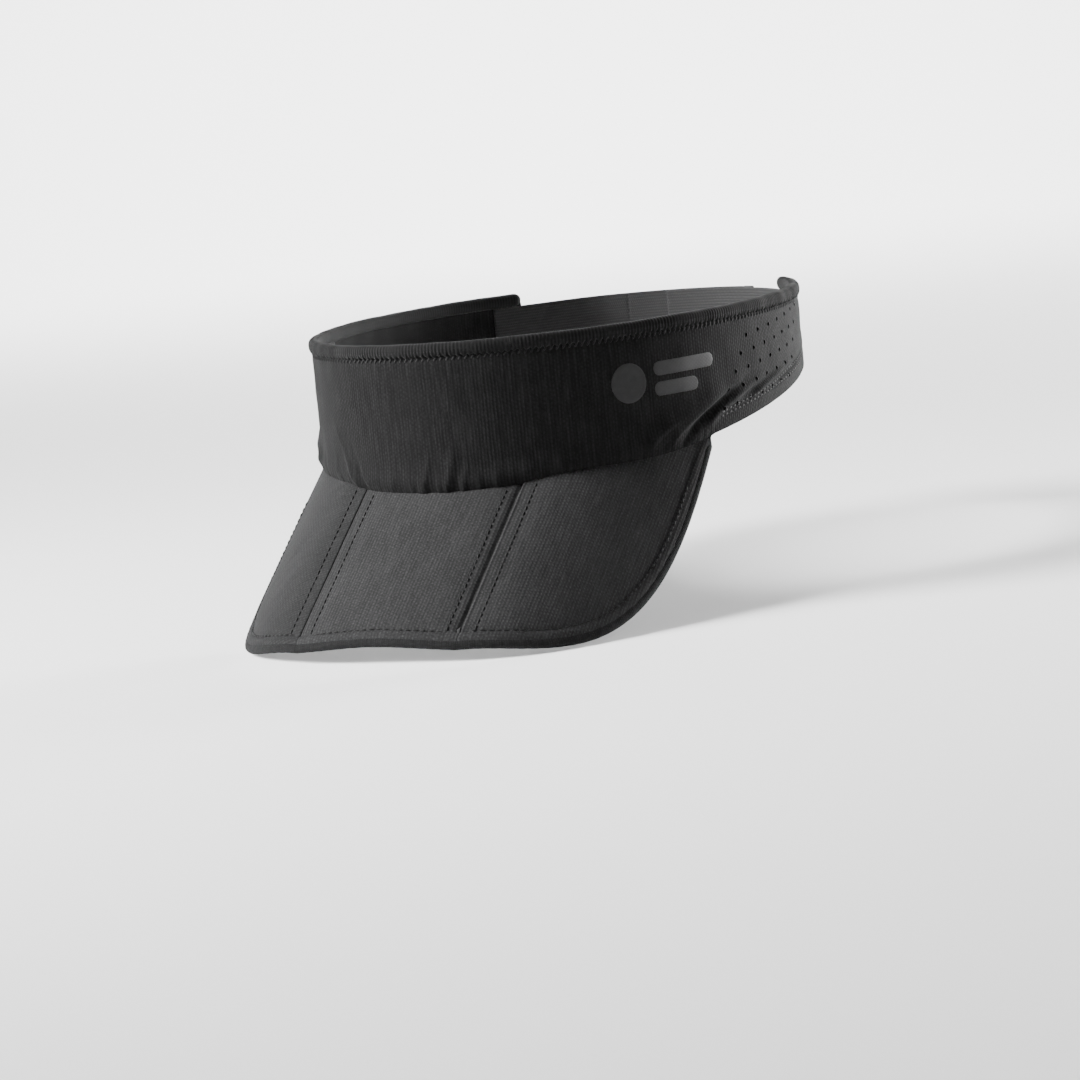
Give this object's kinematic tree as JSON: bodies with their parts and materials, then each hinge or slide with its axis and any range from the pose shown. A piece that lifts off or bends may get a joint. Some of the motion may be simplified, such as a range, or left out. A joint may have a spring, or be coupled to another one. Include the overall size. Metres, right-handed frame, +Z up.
{
  "type": "folding sun visor",
  "caption": "Knitted running visor: a tall perforated headband with a curved brim whose side panels fold under, and a hook-and-loop strap at the back.",
  "frame": {"origin": "middle of the head ring, at the level where the brim is sewn to the band at the front", "axes": "+Z up on an upright head, -Y to the front where the brim points, +X to the wearer's left"},
  "size_m": [0.1628, 0.2667, 0.0971],
  "materials": {
    "knit": "matte pique knit, perforated at the sides",
    "rib": "matte fine rib",
    "terry": "matte looped terry",
    "foam": "matte foam laminate",
    "tape": "matte woven tape",
    "elastic": "matte woven elastic",
    "loop": "fuzzy loop pile",
    "hook": "matte moulded hooks",
    "tip": "satin bonded grip",
    "label": "smooth woven satin",
    "reflective": "satin reflective transfer",
    "board": "matte polyethylene sheet",
    "brim_knit": "matte pique knit with a dry sheen",
    "brim_lining": "matte knit lining",
    "piping": "matte rolled edge"
  },
  "bodies": {
    "root": {"outer_knit": "knit", "top_binding": "rib", "front_interlining": "foam", "sweatband": "terry", "brim_seam_tape": "tape", "left_hem_tape": "tape", "right_hem_tape": "tape", "left_rear_elastic": "elastic", "right_rear_elastic": "elastic", "loop_patch": "loop", "care_label": "label", "reflective_disc": "reflective", "reflective_bar_long": "reflective", "reflective_bar_short": "reflective", "centre_board": "board", "centre_top_cover": "brim_knit", "centre_under_cover": "brim_lining", "centre_edge_piping": "piping", "left_fold_tape": "tape", "right_fold_tape": "tape"},
    "left_brim": {"left_board": "board", "left_top_cover": "brim_knit", "left_under_cover": "brim_lining", "left_edge_piping": "piping"},
    "right_brim": {"right_board": "board", "right_top_cover": "brim_knit", "right_under_cover": "brim_lining", "right_edge_piping": "piping"},
    "closure_tab": {"closure_strap": "elastic", "hook_patch": "hook", "strap_tip": "tip"}
  },
  "joints": [
    {"name": "left_brim_fold", "type": "hinge", "parent": "root", "child": "left_brim", "pos_m": [0.02909, -0.09534, -0.00078], "axis": [0, 0.8077, 0.5896], "range_deg": [0, 146]},
    {"name": "right_brim_fold", "type": "hinge", "parent": "root", "child": "right_brim", "pos_m": [-0.02909, -0.09534, -0.00078], "axis": [0, -0.8077, -0.5896], "range_deg": [0, 130]},
    {"name": "closure_peel", "type": "hinge", "parent": "root", "child": "closure_tab", "pos_m": [-0.02108, 0.10402, 0.035], "axis": [0, 0, 1], "range_deg": [0, 120]}
  ]
}
